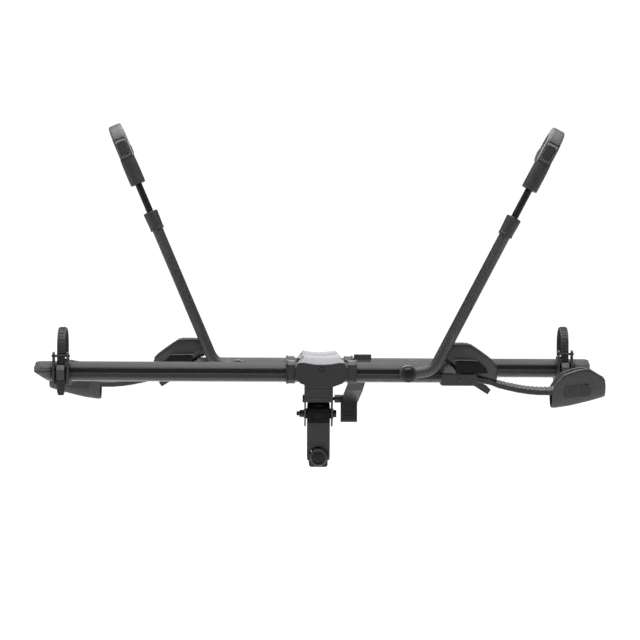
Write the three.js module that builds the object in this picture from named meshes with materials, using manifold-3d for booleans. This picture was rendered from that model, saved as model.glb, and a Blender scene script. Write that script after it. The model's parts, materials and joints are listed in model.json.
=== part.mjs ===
// Hitch mounted two-bike rack, in millimetres.
// +X is to the right seen from behind the vehicle, +Y points at the vehicle, +Z is up.
// The origin is the centre of the hitch pin hole, on the axis of the hitch tongue.
import * as THREE from 'three';
import { mergeVertices } from 'three/addons/utils/BufferGeometryUtils.js';
import Module from 'manifold-3d';

const wasm = await Module();
wasm.setup();

// Driving dimensions
const GAP = 0.3;                 // between touching pieces
const TONGUE = 50.8;             // 2 inch square hitch tongue
const TONGUE_WALL = 6;
const TONGUE_FRONT = -259;       // outer end of the tongue
const TONGUE_BACK = 90;          // end inside the receiver
const PIN_HOLE_R = 8;
const PIVOT_Y = -235;
const PIVOT_Z = 117;
const LOCK_Z = 157;              // lock shaft, above the pivot
const TRAY_Z = 245;              // centre line of both trays
const OUTER_TRAY_Y = -620;
const INNER_TRAY_Y = -320;
const TRAY_END = 715;            // strap end of a tray
const CRADLE_TRAY_END = 330;     // where the tray gives way to the wheel rail
const UPRIGHT_HALF = 30.5;
const KNOB_Z = 3;                // cam knob, just above the tongue's axis
const ARCH_R = 26.5;             // opening in the upright round the knob
const BRACKET_HALF = 38;
const WEB_BOTTOM = 149;          // lower edge of the bracket's front web
const PADDLE_BOTTOM = 96;        // foot end of the release lever
const PLATE = 4;
const ARM_PIVOT_X = 214;
const ARM_Y = -58;               // arm plane, from the tray's centre
const ARM_OFFSET = 52;           // straight part of the arm, from its pivot
const ARM_R = 14.3;
const ROD_R = 9;
const HOOK_BASE = 543;           // bottom of the hook sleeve, along the arm
const HOOK_TOP = 711;
const HOOK_SPAN = 98;            // near leg to far leg
const OUTER_ARM_LEAN = 27.5;     // degrees from upright
const INNER_ARM_LEAN = 23.2;
const STRAP_X = -645;

const finish = (color, roughness, metalness) =>
  new THREE.MeshStandardMaterial({ color, roughness, metalness });
const STEEL = finish(0x2e2f31, 0.45, 0.6);
const ALUMINIUM = finish(0x55575a, 0.4, 0.7);
const PLASTIC = finish(0x2a2b2d, 0.6, 0.0);
const GREY_PLASTIC = finish(0x8b8d90, 0.5, 0.0);
const RUBBER = finish(0x303133, 0.8, 0.0);
const ZINC = finish(0x1c1d1f, 0.4, 0.8);

// ---- shape helpers ----
const { Matrix4, Vector2, Vector3 } = THREE;
const ALONG_X = new Matrix4().makeBasis(new Vector3(0, 1, 0), new Vector3(0, 0, 1), new Vector3(1, 0, 0));
const ALONG_Y = new Matrix4().makeBasis(new Vector3(1, 0, 0), new Vector3(0, 0, 1), new Vector3(0, -1, 0));

function welded(geometry) {
  const bare = geometry.clone();
  bare.deleteAttribute('normal');
  bare.deleteAttribute('uv');
  return mergeVertices(bare, 1e-4);
}

function solid(geometry) {
  const clean = welded(geometry);
  return new wasm.Manifold(new wasm.Mesh({
    numProp: 3,
    vertProperties: new Float32Array(clean.attributes.position.array),
    triVerts: new Uint32Array(clean.index.array),
  }));
}

function toGeometry(manifold) {
  const mesh = manifold.getMesh();
  const geometry = new THREE.BufferGeometry();
  geometry.setAttribute('position', new THREE.BufferAttribute(new Float32Array(mesh.vertProperties), 3));
  geometry.setIndex(new THREE.BufferAttribute(new Uint32Array(mesh.triVerts), 1));
  geometry.computeVertexNormals();
  return geometry;
}

const joined = (first, ...rest) => toGeometry(rest.reduce((sum, next) => sum.add(solid(next)), solid(first)));
const cut = (body, ...tools) =>
  toGeometry(tools.reduce((left, tool) => left.subtract(solid(tool)), solid(body)));

function outline(points, holes = []) {
  const shape = new THREE.Shape(points.map(([a, b]) => new Vector2(a, b)));
  for (const hole of holes) shape.holes.push(new THREE.Path(hole.map(([a, b]) => new Vector2(a, b))));
  return shape;
}

const extruded = (shape, depth, steps = 1) =>
  new THREE.ExtrudeGeometry(shape, { depth, steps, bevelEnabled: false });
// An outline in Y and Z, pushed along X from x0 to x1.
const pushX = (shape, x0, x1) => extruded(shape, x1 - x0).applyMatrix4(ALONG_X).translate(x0, 0, 0);
// An outline in X and Z, pushed along Y from y0 to y1.
const pushY = (shape, y0, y1, steps) =>
  extruded(shape, y1 - y0, steps).applyMatrix4(ALONG_Y).translate(0, y1, 0);

function block(x0, x1, y0, y1, z0, z1) {
  const geometry = new THREE.BoxGeometry(x1 - x0, y1 - y0, z1 - z0);
  return geometry.translate((x0 + x1) / 2, (y0 + y1) / 2, (z0 + z1) / 2);
}

function circle(a, b, radius, sides = 20) {
  return Array.from({ length: sides }, (_, i) => {
    const turn = (i / sides) * 2 * Math.PI;
    return [a + radius * Math.cos(turn), b + radius * Math.sin(turn)];
  });
}

const discX = (y, z, r, x0, x1, sides) => pushX(outline(circle(y, z, r, sides)), x0, x1);
const discY = (x, z, r, y0, y1, sides) => pushY(outline(circle(x, z, r, sides)), y0, y1);
const hexX = (y, z, flats, x0, x1) => discX(y, z, flats / Math.sqrt(3), x0, x1, 6);

// A closed ring turned about +Z from [radius, height] pairs.
function turned(profile, sides = 20) {
  const closed = [...profile, profile[0]].map(([r, z]) => new Vector2(r, z));
  return new THREE.LatheGeometry(closed, sides).rotateX(Math.PI / 2);
}

function mirroredX(geometry) {
  const flipped = geometry.index ? geometry.toNonIndexed() : geometry.clone();
  const xyz = flipped.attributes.position.array;
  for (let i = 0; i < xyz.length; i += 9) {
    for (let k = 0; k < 3; k += 1) [xyz[i + 3 + k], xyz[i + 6 + k]] = [xyz[i + 6 + k], xyz[i + 3 + k]];
    for (let k = 0; k < 9; k += 3) xyz[i + k] *= -1;
  }
  flipped.computeVertexNormals();
  return flipped;
}

const rack = new THREE.Group();

function add(parent, name, geometry, material) {
  const mesh = new THREE.Mesh(geometry, material);
  mesh.name = name;
  parent.add(mesh);
  return mesh;
}

// ---- hitch tongue and upright ----
function tongueTube() {
  const half = TONGUE / 2;
  const inner = half - TONGUE_WALL;
  const corner = 4;
  const square = (h, c) => [[h - c, -h], [h, c - h], [h, h - c], [h - c, h], [c - h, h], [-h, h - c],
    [-h, c - h], [c - h, -h]];
  const tube = extruded(outline(square(half, corner), [square(inner, 1)]), TONGUE_BACK - TONGUE_FRONT);
  tube.applyMatrix4(ALONG_Y).translate(0, TONGUE_BACK, 0);
  const pinHole = discX(0, 0, PIN_HOLE_R, -half - 1, half + 1, 16);
  const shoeWindow = block(9, half + 1, -62, -26, 9, half + 1);
  return cut(tube, pinHole, shoeWindow);
}
add(rack, 'tongue_tube', tongueTube(), STEEL);

function upright() {
  const y0 = PIVOT_Y - 30;
  const y1 = PIVOT_Y + 30;
  const tongueHalf = TONGUE / 2 + GAP;
  const top = PIVOT_Z;
  const side = outline([[y0, 2], [y0 + 8, -6], [y1 - 8, -6], [y1, 2], [y1, top], [y0, top]]);
  const right = pushX(side, tongueHalf, UPRIGHT_HALF);
  const left = pushX(side, -UPRIGHT_HALF, -tongueHalf);
  const arch = circle(0, KNOB_Z, ARCH_R, 24).filter(([, z]) => z > KNOB_Z - 1);
  const web = pushY(outline([[-UPRIGHT_HALF, KNOB_Z], [-UPRIGHT_HALF, top], [UPRIGHT_HALF, top],
    [UPRIGHT_HALF, KNOB_Z], ...arch]), y0, y0 + 5);
  const backWeb = block(-UPRIGHT_HALF, UPRIGHT_HALF, y1 - 5, y1, TONGUE / 2 + GAP, top);
  const barrel = discX(PIVOT_Y, PIVOT_Z, 23, -UPRIGHT_HALF, UPRIGHT_HALF, 28);
  const hood = [[-31, -24], [-31, 12], [-24, 24], [-12, 31.5], [12, 31.5], [24, 24], [31, 12], [31, -24]];
  const cover = pushX(outline(hood.map(([y, z]) => [PIVOT_Y + y, PIVOT_Z + z])), 1 - UPRIGHT_HALF,
    UPRIGHT_HALF - 1);
  const index = discX(PIVOT_Y, PIVOT_Z, 33, -12, 12, 28);
  const notches = [0, 55, -90].map((turn) => {
    const a = THREE.MathUtils.degToRad(90 + turn);
    return discX(PIVOT_Y + 38 * Math.cos(a), PIVOT_Z + 38 * Math.sin(a), 7, -13, 13, 12);
  });
  const bore = discX(PIVOT_Y, PIVOT_Z, 10, -UPRIGHT_HALF - 1, UPRIGHT_HALF + 1, 20);
  return cut(joined(right, left, web, backWeb, barrel, cover, index), bore, ...notches);
}
add(rack, 'upright', upright(), STEEL);

function pivotBush(x0, x1, flange0, flange1) {
  return cut(joined(discX(PIVOT_Y, PIVOT_Z, 9.6, x0, x1, 20), discX(PIVOT_Y, PIVOT_Z, 14, flange0, flange1,
    20)),
    discX(PIVOT_Y, PIVOT_Z, 6.4, -60, 60, 20));
}
add(rack, 'pivot_bush_left', pivotBush(-33.6, -12, -33.6, -30.8), PLASTIC);
add(rack, 'pivot_bush_right', pivotBush(12, 33.6, 30.8, 33.6), PLASTIC);

// ---- anti-wobble clamp inside the tongue ----
function camKnob() {
  const grip = turned([[5.3, 0], [24, 0], [24, 22], [20, 27], [5.3, 27]], 28);
  return grip.rotateX(Math.PI / 2).translate(0, TONGUE_FRONT - 1.5, KNOB_Z);
}
add(rack, 'cam_knob', camKnob(), PLASTIC);
add(rack, 'draw_rod', joined(discY(0, KNOB_Z, 5, TONGUE_FRONT - 30, -26, 14),
  discY(0, KNOB_Z, 12, TONGUE_FRONT - 32.3, TONGUE_FRONT - 28.8, 6)), ZINC);
function wedgeNut() {
  const wedge = pushX(outline([[-52, -15], [-30, -15], [-30, 8], [-52, 13]]), -15, 8);
  return cut(wedge, discY(0, KNOB_Z, 5.3, -70, -20, 14));
}
add(rack, 'wedge_nut', wedgeNut(), ALUMINIUM);
add(rack, 'clamp_shoe', block(10, 24.6, -60, -28, 14, 24.6), ZINC);

// ---- tilting bracket, pivot bolt and lock ----
function pivotBracket() {
  const top = TRAY_Z - 34;
  const y0 = PIVOT_Y - 40;
  const y1 = PIVOT_Y + 40;
  const side = outline([[y0, top], [y0, WEB_BOTTOM], [PIVOT_Y - 22, PIVOT_Z - 30],
    [PIVOT_Y - 16, PIVOT_Z - 34],
    [PIVOT_Y + 16, PIVOT_Z - 34], [PIVOT_Y + 22, PIVOT_Z - 30], [y1, WEB_BOTTOM + 5], [y1, top]],
  [circle(PIVOT_Y, PIVOT_Z, 6.3, 16), circle(PIVOT_Y, LOCK_Z, 6, 16)]);
  const right = pushX(side, BRACKET_HALF - PLATE, BRACKET_HALF);
  const left = pushX(side, -BRACKET_HALF, PLATE - BRACKET_HALF);
  const roof = block(-BRACKET_HALF, BRACKET_HALF, y0, y1, top - PLATE, top);
  const web = block(-BRACKET_HALF, BRACKET_HALF, y0, y0 + PLATE, WEB_BOTTOM, top);
  return joined(right, left, roof, web);
}
add(rack, 'pivot_bracket', pivotBracket(), STEEL);
add(rack, 'pivot_bolt', joined(discX(PIVOT_Y, PIVOT_Z, 6, -59, BRACKET_HALF + 6, 16),
  hexX(PIVOT_Y, PIVOT_Z, 20, BRACKET_HALF + 2.2, BRACKET_HALF + 10),
  discX(PIVOT_Y, PIVOT_Z, 14, BRACKET_HALF + GAP, BRACKET_HALF + 2.2, 20)), ZINC);
add(rack, 'pivot_nut', cut(joined(hexX(PIVOT_Y, PIVOT_Z, 19, -BRACKET_HALF - 13, -BRACKET_HALF - 2.2),
  discX(PIVOT_Y, PIVOT_Z, 12, -BRACKET_HALF - 2.2, -BRACKET_HALF - GAP, 20)),
discX(PIVOT_Y, PIVOT_Z, 6.3, -80, -30, 16)), ZINC);

function lockShaft() {
  const shaft = discX(PIVOT_Y, LOCK_Z, 5, -BRACKET_HALF - 4, 62, 14);
  return joined(shaft, discX(PIVOT_Y, LOCK_Z, 11, -BRACKET_HALF - 5, -BRACKET_HALF - GAP, 18));
}
add(rack, 'lock_shaft', lockShaft(), ZINC);

function releaseLever() {
  const rib = 4;
  const stub = cut(discX(PIVOT_Y, LOCK_Z, 11, 43, 66, 18), discX(PIVOT_Y, LOCK_Z, 5.3, 40, 63, 14));
  const hubBlock = block(62, 104, PIVOT_Y - 26, PIVOT_Y + 11, LOCK_Z - 11, LOCK_Z + 9);
  const paddle = pushX(outline([[PIVOT_Y - 26, LOCK_Z], [PIVOT_Y - 34, PADDLE_BOTTOM + 3],
    [PIVOT_Y - 30, PADDLE_BOTTOM],
    [PIVOT_Y - 16, PADDLE_BOTTOM], [PIVOT_Y - 10, LOCK_Z]]), 59, 103);
  const reach = [[PIVOT_Y - 10, LOCK_Z + 9], [PIVOT_Y - 26, LOCK_Z - 6], [-365, 186], [-410, TRAY_Z],
    [-432, TRAY_Z + 23],
    [-432, TRAY_Z + 38], [-398, TRAY_Z + 38], [-398, TRAY_Z + 16], [-374, TRAY_Z - 18], [-358, 202],
      [PIVOT_Y - 30, LOCK_Z + 12]];
  const arm = pushX(outline(reach), 62, 106);
  const leaned = arm.clone();
  const xyz = leaned.attributes.position;
  for (let i = 0; i < xyz.count; i += 1) {
    xyz.setX(i, xyz.getX(i) + 0.26 * Math.min(Math.max(xyz.getZ(i) - LOCK_Z, 0), 104));
  }
  return joined(stub, hubBlock, paddle, leaned);
}
add(rack, 'release_lever', releaseLever(), PLASTIC);

// ---- spine and hubs ----
const SPINE_HALF = 28;
const SPINE_TOP = TRAY_Z + 13;
const SPINE_BOTTOM = TRAY_Z - 33;
const SPINE_END = PIVOT_Y + 45;
function spineBeam() {
  const wall = 4;
  const outer = [[-SPINE_HALF, SPINE_BOTTOM], [SPINE_HALF, SPINE_BOTTOM], [SPINE_HALF, SPINE_TOP],
    [-SPINE_HALF, SPINE_TOP]];
  const inner = outer.map(([x, z]) => [x - Math.sign(x) * wall, z === SPINE_TOP ? z - wall : z + wall]);
  return pushY(outline(outer, [inner]), OUTER_TRAY_Y - 32, SPINE_END);
}
add(rack, 'spine_beam', spineBeam(), STEEL);
add(rack, 'spine_end_cap', joined(
  block(-SPINE_HALF, SPINE_HALF, SPINE_END + GAP, SPINE_END + 5, SPINE_BOTTOM, SPINE_TOP),
  block(-SPINE_HALF + 5, SPINE_HALF - 5, SPINE_END - 14, SPINE_END + 1, SPINE_BOTTOM + 5, SPINE_TOP - 5)),
    PLASTIC);

// Octagonal saddle block: its top dips in the middle and falls towards the rear of the rack.
function hub(name, centreY, through) {
  const top = 42;
  const dip = 5;
  const fall = 17;
  const crest = Array.from({ length: 9 }, (_, i) => {
    const x = 44 - 11 * i;
    return [x, TRAY_Z + top - dip * (1 - (x / 44) ** 2)];
  });
  const shape = outline([[-27, TRAY_Z - 35], [27, TRAY_Z - 35], [52, TRAY_Z - 26], [65, TRAY_Z - 13],
    [65, TRAY_Z + 8], [58, TRAY_Z + 24], ...crest, [-58, TRAY_Z + 24], [-65, TRAY_Z + 8],
    [-65, TRAY_Z - 13], [-52, TRAY_Z - 26]]);
  const body = pushY(shape, centreY - 45, centreY + 45, 3);
  const xyz = body.attributes.position;
  for (let i = 0; i < xyz.count; i += 1) {
    const forward = (centreY + 45 - xyz.getY(i)) / 90;
    const high = Math.min(Math.max(0, (xyz.getZ(i) - TRAY_Z - 24) / (top - dip - 24)), 1);
    xyz.setZ(i, xyz.getZ(i) - fall * forward ** 2 * high);
  }
  const trayTunnel = traySpace(-70, 70).translate(0, centreY, TRAY_Z);
  const spineTunnel = block(-SPINE_HALF - GAP, SPINE_HALF + GAP, through ? centreY - 50 : OUTER_TRAY_Y - 33,
    centreY + 50, SPINE_BOTTOM - GAP, SPINE_TOP + GAP);
  const underside = block(-SPINE_HALF - GAP, SPINE_HALF + GAP, centreY - 50, centreY + 50, TRAY_Z - 40,
    SPINE_BOTTOM);
  add(rack, name, cut(body, trayTunnel, spineTunnel, ...(through ? [underside] : [])), GREY_PLASTIC);
}
hub('outer_hub', OUTER_TRAY_Y, false);
hub('inner_hub', INNER_TRAY_Y, true);

// ---- wheel trays; the outer tray's shapes are drawn and the inner tray mirrors them ----
const TRAY_OUTSIDE = [[14, -24], [26, -20], [30, -14], [28, 0], [27, 4], [32, 9.5], [27, 24]];
const TRAY_INSIDE = [[23, 24], [24, 9], [18, 0], [0, -6]];
function traySection(grow = 0) {
  const right = [...TRAY_OUTSIDE, ...TRAY_INSIDE];
  const left = right.slice(0, -1).reverse().map(([y, z]) => [-y, z]);
  return outline([...right, ...left].map(([y, z]) => [y + Math.sign(y) * grow, z]), grow ? []
    : [[[-21, -13], [21, -13], [22, -16], [13, -19.5], [-13, -19.5], [-22, -16]]]);
}

// The space that a tray takes inside a sleeve or a hub, with its running clearance.
function traySpace(x0, x1) {
  const right = [[14.5, -24.6], [27, -20.6], [31, -14.3], [32.8, 9.5], [27.6, 24.6]];
  return pushX(outline([...right, ...right.map(([y, z]) => [-y, z]).reverse()]), x0, x1);
}

function wheelTray(prefix, centreY, hand, lean) {
  const group = new THREE.Group();
  group.position.set(0, centreY, TRAY_Z);
  rack.add(group);
  const place = (parent, name, geometry, material) =>
    add(parent, `${prefix}_${name}`, hand < 0 ? mirroredX(geometry) : geometry, material);
  const put = (name, geometry, material) => place(group, name, geometry, material);

  put('strap_tray', pushX(traySection(), -TRAY_END + 42, -34), ALUMINIUM);
  const slopedEnd = pushY(outline([[CRADLE_TRAY_END - 9, 25], [CRADLE_TRAY_END + 1, 4],
    [CRADLE_TRAY_END + 1, 25]]), -40, 40);
  put('cradle_tray', cut(pushX(traySection(), 34, CRADLE_TRAY_END), slopedEnd), ALUMINIUM);

  const capBody = pushX(traySection(), -TRAY_END, -TRAY_END + 42 - GAP);
  const bow = pushY(outline([[-TRAY_END - 1, -25], [-TRAY_END + 30, -25], [-TRAY_END + 14, -14],
    [-TRAY_END + 3, 3], [-TRAY_END - 1, 6]]), -40, 40);
  const lip = pushY(outline([[-TRAY_END - 1, 21], [-TRAY_END + 12, 25], [-TRAY_END - 1, 25]]), -40, 40);
  put('tray_end_cap', cut(capBody, bow, lip), PLASTIC);

  // A moulded sleeve round the tray, thickest against the hub, with a raised ring at its outer end.
  const collar = (x0, x1, ring) => {
    const wrap = (y, low, high) => [[-y + 10, low], [y - 10, low], [y, low + 8], [y, high - 9], [y - 8, high],
      [-y + 8, high], [-y, high - 9], [-y, low + 8]];
    const sleeve = joined(pushX(outline(wrap(36, -27, 29)), x0, x1), pushX(outline(wrap(37.5, -28, 31)),
      ...ring));
    return cut(sleeve, traySpace(-100, 100));
  };
  put('strap_collar', collar(-88, -65.4, [-88, -84]), PLASTIC);
  put('cradle_collar', collar(65.4, 88, [84, 88]), PLASTIC);

  cradle(put);
  strap(put);
  arm(group, place, hand, lean);
}

// ---- front-wheel cradle: sleeve, curved rail, two scoops and the end bracket ----
const RAIL_HALF = 30;
const SCREW_X = [342, 372];
const RAIL_RIM = [[333, -7], [386, -8], [419, -15], [444, -24], [469, -30], [493, -35], [518, -38.5],
  [543, -40.5],
  [568, -40.5], [612, -38], [672, -33]];
const railCurve = new THREE.SplineCurve(RAIL_RIM.map(([x, z]) => new Vector2(x, z)));
function railBand(top, bottom) {
  const points = railCurve.getPoints(18);
  return outline([...points.map((p) => [p.x, p.y + top]), ...points.reverse().map((p) => [p.x,
    p.y + bottom])]);
}

function cradle(put) {
  const channel = cut(pushY(railBand(0, -13), -RAIL_HALF, RAIL_HALF), pushY(railBand(1, -9),
    -RAIL_HALF + 4, RAIL_HALF - 4));
  put('wheel_rail', channel, ALUMINIUM);
  const clamp = (x0, x1, low, high, screws) => {
    const wall = 5;
    const half = RAIL_HALF + GAP + wall;
    const trough = cut(block(x0, x1, -half, half, low, high),
      block(x0 - 1, x1 + 1, -half + wall, half - wall, low + 5, high + 1));
    const heads = screws.map((x) => joined(discY(x, (low + high) / 2, 4.5, -half - 2.6, -half + 1, 12),
      discY(x, (low + high) / 2, 4.5, half - 1, half + 2.6, 12)));
    return heads.reduce((sum, head) => toGeometry(solid(sum).add(solid(head))), trough);
  };
  put('cradle_sleeve', clamp(300, 388, -30.5, -1.5, SCREW_X), STEEL);
  const bracket = clamp(-31, 31, -15.5, 13.5, [-15, 15]).rotateY(-THREE.MathUtils.degToRad(4.8));
  put('rail_end_bracket', bracket.translate(638, 0, -42), STEEL);

  put('inner_scoop', scoop([[304, 27], [304, 70], [336, 76], [368, 73], [384, 66], [406, 50], [426, 32],
    [436, 14], [438, 2], [431, -3], [392, 0], [332, 0], [332, 27]], [[332, 0], [392, 0], [392, 8],
      [332, 8]]), PLASTIC);
  put('outer_scoop', scoop([[708, -30], [712, -20], [711, 0], [702, 10], [690, 14], [668, 16], [640, 14],
    [606, 2], [590, -8], [578, -24], [600, -22], [690, -15]], [[600, -22], [690, -15], [690, -8],
      [600, -15]]), PLASTIC);
}

// Two wings that lean outwards from a floor, as a tyre sits between them.
function scoop(wing, floor) {
  const thick = 4;
  const low = Math.min(...wing.map(([, z]) => z));
  const wings = [-1, 1].map((side) => {
    const y0 = side < 0 ? -31 : 31 - thick;
    const plate = pushY(outline(wing), y0, y0 + thick);
    const xyz = plate.attributes.position;
    for (let i = 0; i < xyz.count; i += 1) xyz.setY(i, xyz.getY(i) + side * 0.12 * (xyz.getZ(i) - low));
    return plate;
  });
  return joined(pushY(outline(floor), -30, 30), ...wings);
}

// ---- rear-wheel strap ----
function strap(put) {
  const x0 = STRAP_X - 20;
  const x1 = STRAP_X + 20;
  const shell = outline([[-37, -34], [37, -34], [40, -30], [40, 2], [29.5, 2], [30.6, -13.5], [27, -20.8],
    [14.5, -24.8], [-14.5, -24.8], [-27, -20.8], [-30.6, -13.5], [-29.5, 2], [-40, 2], [-40, -30]]);
  const plate = [[-39, 40], [-39, -28], [-56, -28], [-59, -20], [-59, 46], [-55, 50], [-48, 50]];
  const cheeks = [[x0, x0 + 5], [x1 - 5, x1]].map(([a, b]) => pushX(outline(plate, [circle(-52, 40, 3.3,
    12)]), a, b));
  const post = pushX(outline([[39, -28], [46, -28], [46, 30], [39, 30]]), STRAP_X - 12, STRAP_X + 12);
  put('strap_carriage', joined(pushX(shell, x0, x1), ...cheeks, post), PLASTIC);
  put('strap_roller', discX(-52, 40, 3, x0 - 2.5, x1 + 2.5, 12), ZINC);
  put('strap_pawl', joined(pushX(outline([[-60, 14], [-56, 18], [-50, 18], [-47, -8], [-51, -20],
    [-62, -18], [-66, 4]]),
    STRAP_X - 10, STRAP_X + 10)), PLASTIC);
  // The ladder strap stands in a loop from the far post over the wheel and down through the buckle.
  const half = 45;
  const thick = 4;
  const loop = (r, drop) => {
    const arc = Array.from({ length: 13 }, (_, i) => {
      const turn = Math.PI * (1 - i / 12);
      return [r * Math.cos(turn) + 1, 68 + r * Math.sin(turn)];
    });
    return [...arc, [r + 1, drop]];
  };
  const over = [...loop(half + thick / 2, 32), ...loop(half - thick / 2, 32).reverse(), [-43.2, -18],
    [-43.2, -58],
    [-46.8, -58], [-46.8, -18]];
  put('ladder_strap', pushX(outline(over), STRAP_X - 10, STRAP_X + 10), RUBBER);
}

// ---- swinging arm with its sliding hook; drawn upright about its own pivot ----
const EYE_R = 21;
function armTube() {
  const start = 54.5 * (Math.PI / 180);
  const bendR = 50;
  const first = (ARM_OFFSET - bendR * (1 - Math.cos(start))) / Math.sin(start);
  const bendZ = first * Math.cos(start);
  const path = new THREE.CurvePath();
  const corner = new Vector3(ARM_OFFSET, 0, bendZ + bendR * Math.sin(start));
  const bend = new THREE.CatmullRomCurve3(Array.from({ length: 7 }, (_, i) => {
    const angle = start * (1 - i / 6);
    return new Vector3(ARM_OFFSET - bendR * (1 - Math.cos(angle)), 0, corner.z - bendR * Math.sin(angle));
  }));
  const from = new Vector3(12 * Math.sin(start), 0, 12 * Math.cos(start));
  const lead = new THREE.LineCurve3(from, bend.getPoint(0));
  const straight = new THREE.LineCurve3(bend.getPoint(1), new Vector3(ARM_OFFSET, 0, 455));
  const along = (shape, curve, steps) => new THREE.ExtrudeGeometry(shape, { steps, extrudePath: curve,
    bevelEnabled: false });
  const full = outline(circle(0, 0, ARM_R, 18));
  const pipe = outline(circle(0, 0, ARM_R, 18), [circle(0, 0, 11.3, 18)]);
  const eye = discY(0, 0, EYE_R, -15, 15, 28);
  return cut(joined(along(full, lead, 1), along(full, bend, 6), along(pipe, straight, 1), eye),
    discY(0, 0, 8.3, -16, 16, 16));
}

function hookBody() {
  const far = HOOK_SPAN;
  const crown = HOOK_TOP - 52;
  const mid = far / 2;
  const bow = (rx, rz) => Array.from({ length: 13 }, (_, i) => {
    const turn = Math.PI * (1 - i / 12);
    return [mid + rx * Math.cos(turn), crown + rz * Math.sin(turn)];
  });
  const side = [[-15, HOOK_BASE + 66], ...bow(mid + 15, 52), [far + 12, 628], [far + 4, 621], [far - 4, 628],
    ...bow(mid - 12, 34).reverse(), [12, HOOK_BASE + 66]];
  const curl = pushX(outline(side), ARM_OFFSET - 18, ARM_OFFSET + 18);
  const sleeve = extruded(outline(circle(0, 0, 20.5, 20))).scale(1, 1, 74).translate(ARM_OFFSET, 0,
    HOOK_BASE);
  const rodSocket = extruded(outline(circle(0, 0, ROD_R + GAP, 20))).scale(1, 1, 20).translate(ARM_OFFSET,
    0, HOOK_BASE - 1);
  const buttonWell = block(ARM_OFFSET - 12, ARM_OFFSET + 12, -22, -4, 624, 664);
  return cut(joined(sleeve, curl), rodSocket, buttonWell);
}

function arm(trayGroup, place, hand, lean) {
  const group = new THREE.Group();
  group.position.set(hand * ARM_PIVOT_X, ARM_Y, 0);
  group.rotation.y = hand * THREE.MathUtils.degToRad(lean);
  trayGroup.add(group);
  const put = (name, geometry, material) => place(group, name, geometry, material);
  // The bolt stands on the tray wall and its cap holds the eye.
  place(trayGroup, 'arm_pivot_bolt', joined(discY(ARM_PIVOT_X, 0, 8, ARM_Y - 18, -32.4, 16),
    discY(ARM_PIVOT_X, 0, 16.5, ARM_Y - 21, ARM_Y - 15.3, 24),
    discY(ARM_PIVOT_X, 0, 19, -42.6, -32.4, 20)), STEEL);
  put('arm_tube', armTube(), STEEL);
  const throat = ROD_R + 0.4;
  const bore = ARM_R + GAP;
  put('arm_collar', turned([[bore, 414], [17.5, 414], [19.5, 464], [throat, 464], [throat, 456],
    [bore, 455.4]])
    .translate(ARM_OFFSET, 0, 0), PLASTIC);
  put('slide_rod', extruded(outline(circle(0, 0, ROD_R, 18))).scale(1, 1, HOOK_BASE + 18 - 300)
    .translate(ARM_OFFSET, 0, 300), ZINC);
  put('hook', hookBody(), PLASTIC);
  put('hook_button', block(ARM_OFFSET - 11.5, ARM_OFFSET + 11.5, -17.5, -8, 624.5, 663.5), PLASTIC);
}

wheelTray('outer', OUTER_TRAY_Y, 1, OUTER_ARM_LEAN);
wheelTray('inner', INNER_TRAY_Y, -1, INNER_ARM_LEAN);

export default rack;
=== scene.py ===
"""Hitch mounted two-bike rack: the finished look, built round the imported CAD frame."""

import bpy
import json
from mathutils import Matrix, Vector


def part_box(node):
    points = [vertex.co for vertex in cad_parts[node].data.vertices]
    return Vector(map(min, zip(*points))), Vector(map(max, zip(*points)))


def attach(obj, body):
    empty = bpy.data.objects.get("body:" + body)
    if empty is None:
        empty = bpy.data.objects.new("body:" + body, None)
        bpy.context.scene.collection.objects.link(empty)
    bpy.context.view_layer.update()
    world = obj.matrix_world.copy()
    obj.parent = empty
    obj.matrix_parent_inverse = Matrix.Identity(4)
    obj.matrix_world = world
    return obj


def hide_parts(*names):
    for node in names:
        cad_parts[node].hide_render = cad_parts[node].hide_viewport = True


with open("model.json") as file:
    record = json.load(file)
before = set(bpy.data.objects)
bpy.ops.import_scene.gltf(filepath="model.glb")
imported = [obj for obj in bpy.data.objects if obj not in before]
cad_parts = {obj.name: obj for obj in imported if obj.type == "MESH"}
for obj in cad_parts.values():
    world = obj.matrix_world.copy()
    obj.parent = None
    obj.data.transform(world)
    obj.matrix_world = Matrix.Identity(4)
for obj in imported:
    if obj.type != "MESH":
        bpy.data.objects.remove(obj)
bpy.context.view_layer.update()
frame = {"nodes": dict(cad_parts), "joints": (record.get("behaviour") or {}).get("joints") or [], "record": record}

import json
import logging
import math
from dataclasses import dataclass
from enum import Enum
from typing import Callable, Iterable, Sequence

import bmesh
import bpy
from bmesh.types import BMesh
from mathutils import Matrix, Vector

log = logging.getLogger("rack")
MM = 0.001
SHARP_ANGLE = math.radians(32)
Point = tuple[float, float]


# ---------------------------------------------------------------- finishes
def linear(hex_colour: str) -> tuple[float, float, float, float]:
    """Turns an sRGB hex colour to linear RGBA.

    Args:
        hex_colour: six hex digits, such as "2b2c2e".
    Returns:
        Linear red, green, blue and an alpha of 1.
    """
    channels = [int(hex_colour[i:i + 2], 16) / 255 for i in (0, 2, 4)]
    red, green, blue = [c / 12.92 if c <= 0.04045 else ((c + 0.055) / 1.055) ** 2.4 for c in channels]
    return red, green, blue, 1.0


def add_node(tree: bpy.types.NodeTree, kind: str, settings: dict,
             links: dict | None = None) -> bpy.types.Node:
    """Adds one shader node.

    Args:
        tree: the node tree.
        kind: the node's type name.
        settings: attribute or input names with their values.
        links: input names with the output sockets that feed them.
    Returns:
        The new node.
    """
    node = tree.nodes.new(kind)
    for key, value in settings.items():
        if hasattr(node, key):
            setattr(node, key, value)
        else:
            node.inputs[key].default_value = value
    for key, socket in (links or {}).items():
        tree.links.new(socket, node.inputs[key])
    return node


class Grain(Enum):
    """How a surface was made, which decides its bump pattern."""

    ORANGE_PEEL = "orange_peel"    # cured powder coat
    DRAWN = "drawn"                # die lines left along an extrusion
    SPARK = "spark"                # spark-eroded mould texture
    TUMBLED = "tumbled"            # barrel plated steel


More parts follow.
